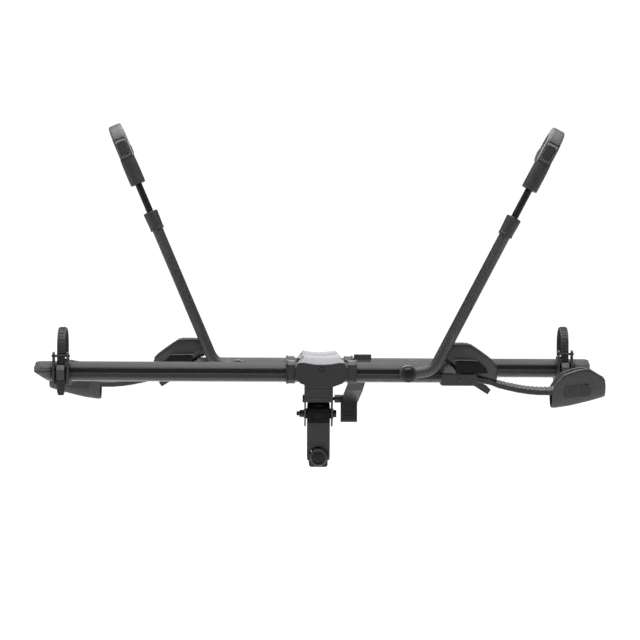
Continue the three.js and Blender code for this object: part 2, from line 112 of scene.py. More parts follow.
@dataclass(frozen=True)
class Finish:
    """A real surface: what it is made of, its colours and the scale of its texture."""

    name: str
    colour: str
    worn: str
    roughness: float
    spread: float
    metallic: float
    grain: Grain
    grain_mm: float
    depth_mm: float
    slot: str
    mottle: float = 0.35
    specular: float = 0.5

    def build(self) -> bpy.types.Material:
        """Makes the material, or returns it if it was made before."""
        if self.name in bpy.data.materials:
            return bpy.data.materials[self.name]
        material = bpy.data.materials.new(self.name)
        material.use_nodes = True
        tree = material.node_tree
        tree.nodes.clear()
        place = add_node(tree, "ShaderNodeTexCoord", {}).outputs["Object"]
        per_metre = 1000 / self.grain_mm
        along = per_metre * 0.02 if self.grain is Grain.DRAWN else per_metre
        stretch = (along, per_metre, per_metre)
        fitted = add_node(tree, "ShaderNodeMapping", {"Scale": stretch},
                          {"Vector": place}).outputs["Vector"]
        fine = add_node(tree, "ShaderNodeTexNoise", {"Scale": 1.0, "Detail": 3.0, "Roughness": 0.55},
                        {"Vector": fitted}).outputs["Fac"]
        if self.grain is Grain.SPARK:
            cells = add_node(tree, "ShaderNodeTexVoronoi", {"Scale": 1.3},
                             {"Vector": fitted}).outputs["Distance"]
            height = add_node(tree, "ShaderNodeMath", {"operation": "ADD"}, {0: fine, 1: cells}).outputs[0]
        else:
            height = fine
        cloud = add_node(tree, "ShaderNodeTexNoise", {"Scale": 14.0, "Detail": 5.0, "Roughness": 0.6},
                         {"Vector": place}).outputs["Fac"]
        scuffs = add_node(tree, "ShaderNodeTexNoise", {"Scale": 90.0, "Detail": 6.0, "Roughness": 0.7,
                                                       "Distortion": 0.4}, {"Vector": place}).outputs["Fac"]
        rubbed = add_node(tree, "ShaderNodeMapRange", {"From Min": 0.56, "From Max": 0.74, "To Max": 0.75},
                          {"Value": scuffs}).outputs["Result"]
        tone = add_node(tree, "ShaderNodeMapRange", {"From Min": 0.3, "From Max": 0.7,
                                                     "To Max": self.mottle},
                        {"Value": cloud}).outputs["Result"]
        amount = add_node(tree, "ShaderNodeMath", {"operation": "MAXIMUM"}, {0: rubbed, 1: tone}).outputs[0]
        blend = add_node(tree, "ShaderNodeMix", {"data_type": "RGBA"}, {"Factor": amount})
        blend.inputs[6].default_value = linear(self.colour)
        blend.inputs[7].default_value = linear(self.worn)
        rough = add_node(tree, "ShaderNodeMapRange", {"From Min": 0.3, "From Max": 0.7,
                                                      "To Min": self.roughness - self.spread,
                                                      "To Max": self.roughness + self.spread},
                         {"Value": scuffs}).outputs["Result"]
        bump = add_node(tree, "ShaderNodeBump", {"Strength": 0.5, "Distance": self.depth_mm * MM},
                        {"Height": height}).outputs["Normal"]
        shader = add_node(tree, "ShaderNodeBsdfPrincipled", {"Metallic": self.metallic, "IOR": 1.5,
                                                             "Specular IOR Level": self.specular},
                          {"Base Color": blend.outputs[2], "Roughness": rough, "Normal": bump})
        add_node(tree, "ShaderNodeOutputMaterial", {}, {"Surface": shader.outputs["BSDF"]})
        return material


# Polyester powder over steel: satin black with a faint orange peel, dust-grey where rubbed.
POWDER_STEEL = Finish("powder_coated_steel", "151617", "232425", 0.4, 0.06, 0.0, Grain.ORANGE_PEEL,
                      1.6, 0.016, "powder_coated_steel")
# Dark anodised extrusion: half-metallic sheen with fine die lines along its length.
ANODISED = Finish("dark_anodised_aluminium", "2f3032", "3b3d40", 0.34, 0.05, 0.25, Grain.DRAWN,
                  1.2, 0.04, "anodised_aluminium")
# Glass-filled nylon with a spark-eroded texture: matte, slightly greyer where handled.
NYLON_BLACK = Finish("moulded_glass_nylon", "1a1b1c", "252627", 0.48, 0.06, 0.0, Grain.SPARK,
                     1.0, 0.015, "textured_plastic")
# The same nylon in the mid grey of the hook crowns.
NYLON_MID = Finish("moulded_nylon_mid_grey", "454749", "525457", 0.5, 0.06, 0.0, Grain.SPARK,
                   1.0, 0.015, "textured_plastic")
# The light grey ABS cover over each hub.
ABS_GREY = Finish("moulded_grey_abs", "7b7c7f", "707174", 0.46, 0.05, 0.0, Grain.SPARK,
                  1.1, 0.015, "grey_plastic", mottle=0.3)
# Dark nylon of the hub bodies, in the same record slot as their covers.
HUB_NYLON = Finish("moulded_hub_nylon", "141516", "1f2021", 0.46, 0.06, 0.0, Grain.SPARK,
                   1.1, 0.015, "grey_plastic")
# Black zinc plated steel: darker, glossier, tumbled before plating.
BLACK_ZINC = Finish("black_zinc_steel", "0f1011", "212223", 0.34, 0.08, 0.5, Grain.TUMBLED,
                    2.2, 0.03, "black_zinc")
# Thermoplastic rubber of the ladder straps: soft, matte and slightly dusty.
STRAP_RUBBER = Finish("moulded_strap_rubber", "1f2021", "2b2c2d", 0.6, 0.06, 0.0, Grain.SPARK,
                      0.9, 0.04, "rubber")
# Unfilled nylon of the pivot bushes. The same near black, low-specular finish also serves as painted shade on the
# upright's top, in the tray grooves and on the scoop panel.
BUSH_NYLON_AND_PAINTED_SHADE = Finish("plain_bush_nylon_and_painted_shade", "050505", "0b0b0b", 0.6, 0.05, 0.0, Grain.SPARK,
                    1.0, 0.03, "nylon", specular=0.2)
FINISH_OF_SLOT = {"powder_coated_steel": POWDER_STEEL, "anodised_aluminium": ANODISED,
                  "grey_plastic": HUB_NYLON,
                  "textured_plastic": NYLON_BLACK, "black_zinc": BLACK_ZINC, "rubber": STRAP_RUBBER,
                  "nylon": BUSH_NYLON_AND_PAINTED_SHADE}


# ---------------------------------------------------------------- mesh tools
def outline(bm: BMesh, points: Iterable[Point],
            place: Callable[[float, float], Vector]) -> bmesh.types.BMFace:
    """Adds a flat face through points, each put in space by place().

    Args:
        bm: the mesh being built.
        points: outline points in millimetres.
        place: turns an outline point to a position in millimetres.
    Returns:
        The face.
    """
    return bm.faces.new([bm.verts.new(place(a, b) * MM) for a, b in points])


def push(bm: BMesh, face: bmesh.types.BMFace, travel: Vector) -> None:
    """Extrudes a face by travel, in millimetres, and leaves the solid closed."""
    moved = bmesh.ops.extrude_face_region(bm, geom=[face], use_keep_orig=True)["geom"]
    verts = [v for v in moved if isinstance(v, bmesh.types.BMVert)]
    bmesh.ops.translate(bm, verts=verts, vec=travel * MM)


def prism_x(bm: BMesh, points: Iterable[Point], x0: float, x1: float) -> None:
    """Adds an outline in Y and Z, pushed along X from x0 to x1."""
    push(bm, outline(bm, points, lambda y, z: Vector((x0, y, z))), Vector((x1 - x0, 0, 0)))


def prism_y(bm: BMesh, points: Iterable[Point], y0: float, y1: float) -> None:
    """Adds an outline in X and Z, pushed along Y from y0 to y1."""
    push(bm, outline(bm, points, lambda x, z: Vector((x, y0, z))), Vector((0, y1 - y0, 0)))


def bar(bm: BMesh, start: Vector, end: Vector, radii: Sequence[float], sides: int = 40) -> None:
    """Adds a round bar from start to end, in millimetres, with its two end radii."""
    along = end - start
    turn = along.to_track_quat("Z", "Y").to_matrix().to_4x4()
    matrix = Matrix.Translation((start + end) / 2 * MM) @ turn
    bmesh.ops.create_cone(bm, cap_ends=True, segments=sides, radius1=radii[0] * MM, radius2=radii[-1] * MM,
                          depth=along.length * MM, matrix=matrix)


def spun(bm: BMesh, profile: Sequence[Point], origin: Vector, axis: Vector, steps: int = 48) -> None:
    """Turns a profile of (radius, distance along axis) pairs about an axis."""
    axis = axis.normalized()
    side = axis.orthogonal().normalized()
    verts = [bm.verts.new((origin + side * r + axis * d) * MM) for r, d in profile]
    edges = [bm.edges.new((verts[i], verts[(i + 1) % len(verts)])) for i in range(len(verts))]
    bmesh.ops.spin(bm, geom=verts + edges, cent=origin * MM, axis=axis, angle=math.tau, steps=steps,
                   use_merge=True)


@dataclass(frozen=True)
class Station:
    """One cross-section of a swept piece: where it is, its two half sizes and how square it is."""

    centre: Vector
    side: Vector
    up: Vector
    half_side: float
    half_up: float
    square: float = 2.0


def swept(bm: BMesh, stations: Sequence[Station], sides: int = 32) -> None:
    """Joins round or squarish cross-sections, one after another, and closes both ends."""
    rings = []
    for station in stations:
        ring = bmesh.ops.create_circle(bm, segments=sides, radius=1.0)["verts"]
        for vert in ring:
            turn = math.atan2(vert.co.y, vert.co.x)
            a = math.copysign(abs(math.cos(turn)) ** (2 / station.square), math.cos(turn))
            b = math.copysign(abs(math.sin(turn)) ** (2 / station.square), math.sin(turn))
            offset = station.side * (a * station.half_side) + station.up * (b * station.half_up)
            vert.co = (station.centre + offset) * MM
        rings.append(ring)
    loops = [[e for e in {edge for v in ring for edge in v.link_edges}] for ring in rings]
    for first, second in zip(loops, loops[1:]):
        bmesh.ops.bridge_loops(bm, edges=first + second)
    bm.faces.new(rings[0])
    bm.faces.new(rings[-1])


def soften(bm: BMesh, width_mm: float, segments: int = 2, above: float = SHARP_ANGLE) -> None:
    """Rounds every edge that folds more than an angle.

    Args:
        bm: the mesh.
        width_mm: how far the rounding reaches from the edge.
        segments: facets across the rounding.
        above: the fold, in radians, from which an edge counts.
    """
    bmesh.ops.remove_doubles(bm, verts=bm.verts[:], dist=0.02 * MM)
    bmesh.ops.recalc_face_normals(bm, faces=bm.faces[:])
    edges = [e for e in bm.edges if len(e.link_faces) == 2 and e.calc_face_angle(0.0) > above]
    bmesh.ops.bevel(bm, geom=edges, offset=width_mm * MM, offset_type="OFFSET", affect="EDGES",
                    segments=segments, profile=0.5, material=-1, clamp_overlap=True)


def cad_copy(node: str) -> BMesh:
    """A merged copy of a CAD node's mesh with its flat faces joined up."""
    bm = bmesh.new()
    bm.from_mesh(frame["nodes"][node].data)
    bmesh.ops.remove_doubles(bm, verts=bm.verts[:], dist=0.01 * MM)
    bmesh.ops.dissolve_limit(bm, angle_limit=math.radians(1.0), use_dissolve_boundaries=False,
                             verts=bm.verts[:], edges=bm.edges[:])
    return bm


def finish_piece(name: str, bm: BMesh, finish: Finish, body: str, stands_for: Sequence[str] = (),
                 place: Matrix | None = None) -> bpy.types.Object:
    """Turns a bmesh into a finished piece of the rack.

    Args:
        name: the piece's name.
        bm: its mesh; freed here.
        finish: its surface.
        body: the CAD body that it moves with.
        stands_for: the CAD nodes that it replaces.
        place: an optional last transform, which may mirror.
    Returns:
        The new object.
    """
    if place is not None:
        bmesh.ops.transform(bm, matrix=place, verts=bm.verts[:])
    bmesh.ops.remove_doubles(bm, verts=bm.verts[:], dist=0.005 * MM)
    bmesh.ops.recalc_face_normals(bm, faces=bm.faces[:])
    for face in bm.faces:
        face.smooth = True
    for edge in bm.edges:
        edge.smooth = edge.calc_face_angle(0.0) < SHARP_ANGLE
    mesh = bpy.data.meshes.new(name)
    bm.to_mesh(mesh)
    bm.free()
    mesh.materials.append(finish.build())
    piece = bpy.data.objects.new(name, mesh)
    bpy.context.scene.collection.objects.link(piece)
    flat = piece.modifiers.new("even_faces", "WEIGHTED_NORMAL")
    flat.keep_sharp = True
    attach(piece, body)
    if stands_for:
        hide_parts(*stands_for)
    log.info("%s rides on %s, %d faces", name, body, len(mesh.polygons))
    return piece


def refine(node: str, body: str, width_mm: float = 0.8,
           painted_shade_at: Callable[[Vector], bool] | None = None) -> bpy.types.Object:
    """Stands a softened copy in for a CAD node whose shape is right, with the finish of its slot.

    Args:
        node: the CAD node.
        body: the body that it moves with.
        width_mm: the reach of its rounded edges.
        painted_shade_at: says from a face's centre, in millimetres, which faces get painted shade: near black
            nylon stands in for the shadow that falls on the metal there.
    Returns:
        The new object.
    """
    bm = cad_copy(node)
    soften(bm, width_mm)
    slots = {part["node"]: part["material_slot"] for part in frame["record"]["subparts"]}
    piece = finish_piece(f"{node}_finished", bm, FINISH_OF_SLOT[slots[node]], body, [node])
    # Painted shade: the faces picked here get near black nylon as a second material, standing in for the shadow
    # that falls on them.
    if painted_shade_at:
        piece.data.materials.append(BUSH_NYLON_AND_PAINTED_SHADE.build())
        for face in piece.data.polygons:
            face.material_index = int(painted_shade_at(face.center / MM))
    return piece


def centre_of(node: str) -> Vector:
    """The middle of a CAD node's box, in millimetres."""
    low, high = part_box(node)
    return (low + high) / 2 / MM


def joint(name: str) -> dict:
    """The record's joint of that name."""
    return next(j for j in frame["joints"] if j["name"] == name)


def arc(centre: Point, radius: float, start: float, stop: float, count: int) -> list[Point]:
    """Points on an arc, angles in degrees."""
    steps = [math.radians(start + (stop - start) * i / (count - 1)) for i in range(count)]
    return [(centre[0] + radius * math.cos(t), centre[1] + radius * math.sin(t)) for t in steps]


X, Y, Z = Vector((1, 0, 0)), Vector((0, 1, 0)), Vector((0, 0, 1))


# ---------------------------------------------------------------- hitch end
@dataclass
class HitchEnd:
    """Tongue, upright, bushes and the knob that tightens the tongue."""

    knob_flutes: int = 12
    knob_radius: float = 23.8
    knob_depth: float = 26.0

    def build(self) -> None:
        """Builds every piece that stays with the vehicle."""
        refine("tongue_tube", "hitch_end", 1.2)
        pivot = Vector(joint("platform_tilt")["pos_m"]) / MM
        # Painted shade: the upright's top round the pivot is painted near black, standing in for the shadow under
        # the bracket and trays.
        refine("upright", "hitch_end", 1.2, lambda c: c.z > pivot.z - 22 and abs(c.x) < 29.8)
        refine("pivot_bush_left", "hitch_end", 0.6)
        refine("pivot_bush_right", "hitch_end", 0.6)
        refine("wedge_nut", "wedge", 0.8)
        refine("clamp_shoe", "shoe", 1.0)
        refine("draw_rod", "knob", 0.6)
        self.knob()
        self.welds()

    def knob(self) -> None:
        """The fluted hand knob with a shallow dished face."""
        low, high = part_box("cam_knob")
        centre = (low + high) / 2 / MM
        back = high.y / MM
        face = back - self.knob_depth
        bm = bmesh.new()
        r = self.knob_radius
        profile = [(5.4, 0), (r - 2, 0), (r, 2), (r, self.knob_depth - 5), (r - 1.4, self.knob_depth - 1.5),
                   (r - 3.5, self.knob_depth), (r - 6.5, self.knob_depth - 0.6),
                   (r - 9, self.knob_depth - 2.4),
                   (13.4, self.knob_depth - 2.6), (5.4, self.knob_depth - 2.6)]
        spun(bm, profile, Vector((centre.x, back, centre.z)), -Y, 96)
        for vert in bm.verts:
            offset = Vector((vert.co.x - centre.x * MM, 0, vert.co.z - centre.z * MM))
            depth = (back * MM - vert.co.y) / MM
            if offset.length > (r - 2.5) * MM and 1.0 < depth < self.knob_depth - 2:
                turn = math.atan2(offset.z, offset.x)
                dent = 0.5 + 0.5 * math.cos(turn * self.knob_flutes)
                vert.co -= offset.normalized() * (1.3 * dent ** 3) * MM
        finish_piece("cam_knob_finished", bm, NYLON_BLACK, "knob", ["cam_knob"])
        bm = bmesh.new()
        spun(bm, [(0.01, face + 2.9), (11.6, face + 2.9), (12.4, face + 2.2), (11.8, face + 1.2),
                  (9, face + 0.7),
                  (0.01, face + 0.5)], Vector((centre.x, 0, centre.z)), Y, 48)
        finish_piece("knob_centre_cap", bm, NYLON_BLACK, "knob")

    def welds(self) -> None:
        """Weld beads where the upright's plates meet the tongue."""
        low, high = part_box("upright")
        for side in (-1, 1):
            bm = bmesh.new()
            x = side * 27.6
            beads = 22
            start, stop = low.y / MM + 10, high.y / MM - 8
            for i in range(beads):
                y = start + (stop - start) * i / (beads - 1)
                place = Matrix.Translation(Vector((x, y, low.z / MM + 0.6)) * MM)
                matrix = place @ Matrix.Diagonal((2.4 * MM, 1.9 * MM, 1.5 * MM, 1))
                bmesh.ops.create_uvsphere(bm, u_segments=10, v_segments=6, radius=1.0, matrix=matrix)
            finish_piece(f"upright_weld_{'left' if side < 0 else 'right'}", bm, POWDER_STEEL, "hitch_end")


# ---------------------------------------------------------------- tilt bracket and lever
@dataclass
class TiltBracket:
    """Folded bracket with its pivot bolt, lock shaft and release lever."""

    ridge_count: int = 3
    pad_ridges: int = 6
    bead_heights: Point = (10.0, 34.0)
    rib_edges: Point = (64.0, 104.0)

    def build(self) -> None:
        """Builds the bracket, its fasteners and the lever."""
        refine("pivot_bracket", "platform", 1.2)
        refine("pivot_bolt", "platform", 0.7)
        refine("pivot_nut", "platform", 0.7)
        refine("lock_shaft", "lever", 0.7)
        refine("spine_beam", "platform", 2.0)
        refine("spine_end_cap", "platform", 1.5)
        self.lever()
        self.web_folds()

    def web_folds(self) -> None:
        """Two pressed stiffening beads across the bracket's front web."""
        low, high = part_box("pivot_bracket")
        bm = bmesh.new()
        for height in self.bead_heights:
            z = high.z / MM - 62 + height
            start = Vector((low.x / MM + 14, low.y / MM + 0.4, z))
            end = Vector((high.x / MM - 14, low.y / MM + 0.4, z))
            stations = [Station(start.lerp(end, t), Y, Z, 1.0 if 0 < t < 1 else 0.3,
                                1.9 if 0 < t < 1 else 0.5)
                        for t in (0, 0.05, 0.5, 0.95, 1)]
            swept(bm, stations, 14)
        finish_piece("bracket_web_beads", bm, POWDER_STEEL, "platform")

    def lever(self) -> None:
        """The release lever: hand pad, ribbed arm, stub and foot paddle with grip ridges."""
        refine("release_lever", "lever", 1.6)
        low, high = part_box("release_lever")
        lock = joint("lever_release")["pos_m"]
        bm = bmesh.new()
        for i in range(self.ridge_count):
            z = low.z / MM + 9 + 7.2 * i
            y = lock[1] / MM - 34.4 + (z - low.z / MM) * 0.11
            start, end = Vector((66, y, z)), Vector((96, y, z))
            swept(bm, [Station(start.lerp(end, t), Y, Z, w * 1.2, w * 1.1)
                       for t, w in ((0, 0.3), (0.06, 1.0), (0.94, 1.0), (1, 0.3))], 12)
        finish_piece("lever_paddle_ridges", bm, NYLON_BLACK, "lever")
        bm = bmesh.new()
        top = high.z / MM
        for i in range(self.pad_ridges):
            y = low.y / MM + 5 + 4.6 * i
            start, end = Vector((93, y, top - 0.2)), Vector((127, y, top - 0.2))
            swept(bm, [Station(start.lerp(end, t), Y, Z, w * 1.1, w * 0.2)
                       for t, w in ((0, 0.3), (0.06, 1.0), (0.94, 1.0), (1, 0.3))], 10)
        finish_piece("lever_pad_ridges", bm, NYLON_BLACK, "lever")
        bm = bmesh.new()
        tray_z = centre_of("outer_strap_tray").z
        foot = lock[2] / MM
        for edge in self.rib_edges:
            route = [(lock[1] / MM - 27, foot - 4), (-363, 185), (-409, tray_z - 1)]
            stations = [Station(Vector((edge + 0.26 * max(z - foot, 0), y, z)), X, Vector((0, -0.55, 0.83)),
                                2.0, 2.6, 4.0)
                        for y, z in route]
            swept(bm, stations, 16)
        finish_piece("lever_side_ribs", bm, NYLON_BLACK, "lever")


# ---------------------------------------------------------------- hubs
@dataclass
class Hub:
    """A moulded hub block with its light cover and its hub screw."""

    node: str

    def build(self) -> None:
        """Builds the block, the cover and the screw."""
        bm = cad_copy(self.node)
        soften(bm, 2.4, 3, math.radians(24))
        finish_piece(f"{self.node}_block", bm, HUB_NYLON, "platform", [self.node])
        self.cover()
        self.screw()

    def cover(self) -> None:
        """The thin cover that lies on the saddle-shaped top."""
        bm = bmesh.new()
        bm.from_mesh(frame["nodes"][self.node].data)
        bmesh.ops.remove_doubles(bm, verts=bm.verts[:], dist=0.01 * MM)
        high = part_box(self.node)[1]
        lowest = high.z - 32 * MM
        away = [f for f in bm.faces if f.normal.z < 0.72 or f.calc_center_median().z < lowest]
        bmesh.ops.delete(bm, geom=away, context="FACES")
        shell = bmesh.ops.extrude_face_region(bm, geom=bm.faces[:], use_keep_orig=True)["geom"]
        bmesh.ops.translate(bm, verts=[v for v in shell if isinstance(v, bmesh.types.BMVert)],
                            vec=Z * 1.8 * MM)
        soften(bm, 0.8, 2, math.radians(40))
        finish_piece(f"{self.node}_cover", bm, ABS_GREY, "platform")

    def screw(self) -> None:
        """A recessed socket screw in the middle of the rear-facing side."""
        low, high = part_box(self.node)
        centre = Vector(((low.x + high.x) / 2 / MM, low.y / MM, (low.z + high.z) / 2 / MM + 6))
        bm = bmesh.new()
        spun(bm, [(0.01, 1.6), (3.0, 1.6), (3.2, 0.2), (5.2, -0.2), (7.2, -0.1), (7.6, 1.0), (7.2, 3.0),
                  (0.01, 3.0)],
             centre, Y, 36)
        finish_piece(f"{self.node}_screw", bm, BLACK_ZINC, "platform")


# ---------------------------------------------------------------- trays
@dataclass
class Tray:
    """One wheel tray with its collars, cradle, strap and arm."""

    prefix: str
    hand: int
    end: float = 715.0
    cap_length: float = 42.0

    def __post_init__(self) -> None:
        """Finds the tray's centre line from the frame."""
        centre = centre_of(f"{self.prefix}_strap_tray")
        self.origin = Vector((0, centre.y, centre.z))
        mirror = Matrix.Diagonal((self.hand, 1, 1, 1))
        self.place = Matrix.Translation(self.origin * MM) @ mirror

    def name(self, part: str) -> str:
        """The piece's name with this tray's prefix."""
        return f"{self.prefix}_{part}"

    def add(self, part: str, bm: BMesh, finish: Finish, body: str = "platform",
            stands_for: Sequence[str] = ()) -> bpy.types.Object:
        """Finishes a piece drawn about the tray's centre in the outer tray's hand."""
        return finish_piece(self.name(part), bm, finish, body, [self.name(n) for n in stands_for],
                            self.place)

    def section(self, grow: float = 0.0) -> list[Point]:
        """The tray's cross-section: sloped lips, undercut grooves and a rounded keel."""
        right = [(0, -24), (13, -24), (20, -22.6), (26, -20), (29, -16.5), (30, -13), (29, -4),
                 (28.4, -2.6), (24.2, -1.8), (23.6, 0), (24.9, 4.2), (26.4, 7.4), (31.2, 8.6), (32, 9.8),
                 (31.2, 12.2), (26.2, 22.6), (24.6, 24), (22.4, 23.6), (21.6, 21.8), (22.6, 9.5), (20, 3),
                 (14, -2.5), (6, -5.4), (0, -6)]
        full = right + [(-y, z) for y, z in reversed(right[1:-1])]
        return [(y + math.copysign(grow, y), z) for y, z in full] if grow else full

    def build(self) -> None:
        """Builds the whole tray."""
        self.rails()
        self.end_cap()
        for collar in ("strap_collar", "cradle_collar"):
            refine(self.name(collar), "platform", 1.4)
        Cradle(self).build()
        WheelStrap(self).build()
        Arm(self).build()

    def rails(self) -> None:
        """The two extruded halves."""
        bm = bmesh.new()
        prism_x(bm, self.section(), -self.end + self.cap_length, -34)
        soften(bm, 0.35, 1)
        self.add("strap_tray_rail", bm, ANODISED, stands_for=["strap_tray"])
        bm = bmesh.new()
        prism_x(bm, self.section(), 34, 330)
        for vert in bm.verts:
            if vert.co.x > 300 * MM and vert.co.z > 0:
                vert.co.x -= 0.4 * vert.co.z
        soften(bm, 0.35, 1)
        self.add("cradle_tray_rail", bm, ANODISED, stands_for=["cradle_tray"])
        # Painted shade: near black strips set in the side grooves stand in for the shadow inside them.
        bm = bmesh.new()
        for side in (-1, 1):
            for x0, x1 in ((-self.end + self.cap_length, -89), (89, 298)):
                prism_x(bm, [(side * y, z) for y, z in ((24.9, -1.7), (28.2, -2.4), (30.2, 8.2),
                                                        (27.2, 7.4))], x0, x1)
        self.add("groove_infill_strips", bm, BUSH_NYLON_AND_PAINTED_SHADE)

    def end_cap(self) -> None:
        """The boat-shaped plug at the strap end."""
        bm = bmesh.new()
        prism_x(bm, self.section(), 0.6 - self.end, -self.end + self.cap_length - 0.4)
        bmesh.ops.subdivide_edges(bm, edges=[e for e in bm.edges
                                             if abs(e.verts[0].co.x - e.verts[1].co.x) > 0.01],
                                  cuts=6, use_grid_fill=True)
        for vert in bm.verts:
            z = vert.co.z / MM
            reach = (-vert.co.x / MM - self.end + self.cap_length) / self.cap_length
            if z < -1:
                vert.co.x += 36 * MM * reach * (-1 - z) / 23
            if z > 9:
                vert.co.x += 5 * MM * reach * (z - 9) / 15
            vert.co.y *= 1 - 0.16 * reach ** 3
        soften(bm, 0.5, 2, math.radians(50))
        self.add("tray_end_plug", bm, NYLON_MID, stands_for=["tray_end_cap"])


@dataclass
class Cradle:
    """Front-wheel cradle: sleeve, curved rail with grip ridges, two scoops and an end bracket."""

    tray: Tray
    rim: tuple[Point, ...] = ((333, -7), (386, -8), (419, -15), (444, -24), (469, -30), (493, -35),
                              (518, -38.5), (543, -40.5), (568, -40.5), (612, -38), (672, -33))
    half_width: float = 30.0

    def rim_at(self, x: float) -> float:
        """Height of the rail's rim at x."""
        points = self.rim
        for (x0, z0), (x1, z1) in zip(points, points[1:]):
            if x <= x1:
                t = (x - x0) / (x1 - x0)
                return z0 + (z1 - z0) * (t * t * (3 - 2 * t) * 0.3 + t * 0.7)
        return points[-1][1]

    def build(self) -> None:
        """Builds the cradle."""
        self.rail()
        refine(self.tray.name("cradle_sleeve"), "platform", 1.0)
        refine(self.tray.name("rail_end_bracket"), "platform", 1.0)
        self.inner_scoop()
        self.outer_scoop()

    def rail(self) -> None:
        """The curved channel and the ridged insert on its floor."""
        section = [(-30, -12), (-27, -13), (27, -13), (30, -12), (30, -0.8), (29, 0), (27, 0), (26, -0.8),
                   (26, -9), (-26, -9), (-26, -0.8), (-27, 0), (-29, 0), (-30, -0.8)]
        bm = bmesh.new()
        prism_x(bm, section, 333, 672)
        long_edges = [e for e in bm.edges if abs(e.verts[0].co.x - e.verts[1].co.x) > 0.1]
        bmesh.ops.subdivide_edges(bm, edges=long_edges, cuts=60, use_grid_fill=True)
        for vert in bm.verts:
            vert.co.z += self.rim_at(vert.co.x / MM) * MM
        soften(bm, 0.5, 1, math.radians(50))
        self.tray.add("wheel_rail_channel", bm, ANODISED, stands_for=["wheel_rail"])
        bm = bmesh.new()
        prism_x(bm, [(-25.6, -8.8), (25.6, -8.8), (25.2, -0.6), (19, 3.4), (9, 6.0), (0, 6.6), (-9, 6.0),
                     (-19, 3.4), (-25.2, -0.6)], 394, 600)
        long_edges = [e for e in bm.edges if abs(e.verts[0].co.x - e.verts[1].co.x) > 0.1]
        bmesh.ops.subdivide_edges(bm, edges=long_edges, cuts=119, use_grid_fill=True)
        for vert in bm.verts:
            x = vert.co.x / MM
            if vert.co.z > -4 * MM:
                step = round((x - 394) / (206 / 120))
                vert.co.z += (1.5 if step % 6 in (1, 2) else 0.0) * MM
            vert.co.z += self.rim_at(x) * MM
        self.tray.add("rail_grip_insert", bm, NYLON_MID)

    def shell(self, part: str, stations: Sequence[tuple[float, float, float, float, float]], node: str,
              turns: int = 8) -> None:
        """A trough with flared sides, lofted along X and given its wall by a modifier.

        Args:
            part: the piece's name.
            stations: x, keel height, rim height, half width at the keel and half width at the rim.
            node: the CAD node that it replaces.
            turns: how many edges run from keel to rim on each side.
        """
        bm = bmesh.new()
        previous: list = []
        for x, keel, rim, low_half, high_half in stations:
            row = []
            for i in range(-turns, turns + 1):
                t = abs(i) / turns
                flare = max(0.0, (t - 0.3) / 0.7) ** 1.3
                spread = low_half * min(1.0, t * 2.2) + (high_half - low_half) * flare
                height = keel + (rim - keel) * max(0.0, (t - 0.22) / 0.78) ** 1.25
                row.append(Vector((x, math.copysign(spread, i) if i else 0.0, height)) * MM)
            if not previous:
                verts = [bm.verts.new(p) for p in row]
                previous = [bm.edges.new(pair) for pair in zip(verts, verts[1:])]
                ordered = verts
                continue
            grown = bmesh.ops.extrude_edge_only(bm, edges=previous)["geom"]
            fresh = [v for v in grown if isinstance(v, bmesh.types.BMVert)]
            match = {min(fresh, key=lambda v: (v.co - old.co).length): i for i, old in enumerate(ordered)}
            for vert, i in match.items():
                vert.co = row[i]
            ordered = sorted(match, key=lambda v: match[v])
            previous = [e for e in grown if isinstance(e, bmesh.types.BMEdge)
                        and e.verts[0] in match and e.verts[1] in match]
        piece = self.tray.add(part, bm, NYLON_BLACK, stands_for=[node])
        wall = piece.modifiers.new("wall", "SOLIDIFY")
        wall.thickness = 3.4 * MM
        wall.offset = 0.0
        smooth = piece.modifiers.new("round", "SUBSURF")
        smooth.levels = smooth.render_levels = 1
        piece.modifiers.move(0, 2)
        # The rim beads are real raised lips that catch the light; their lighter mid grey, against the black shell,
        # is a painted highlight along the rim.
        beads = bmesh.new()
        for side in (-1, 1):
            rim = [Station(Vector((x, side * (high_half + 0.4), z)), Y, Z, 2.3, 2.0)
                   for x, _, z, _, high_half in stations]
            swept(beads, rim, 12)
        self.tray.add(f"{part}_rim", beads, NYLON_MID)

    def outer_scoop(self) -> None:
        """The clog-shaped stop at the outer end of the rail."""
        self.shell("outer_wheel_scoop", [
            (576, -83, -44, 20, 32), (579, -85, -34, 21, 34), (588, -84, -20, 22, 37),
            (604, -82, -3, 23, 40),
            (616, -80, 2, 23, 41), (636, -76, 9, 23, 41), (658, -70, 13, 22, 40), (668, -68, 12, 22, 39),
            (688, -62, 0, 20, 36), (702, -58, -8, 17, 32), (708.5, -56, -17, 14, 25),
            (710, -54, -30, 9, 17),
            (710.5, -52, -44, 4, 8)],
            "outer_scoop")

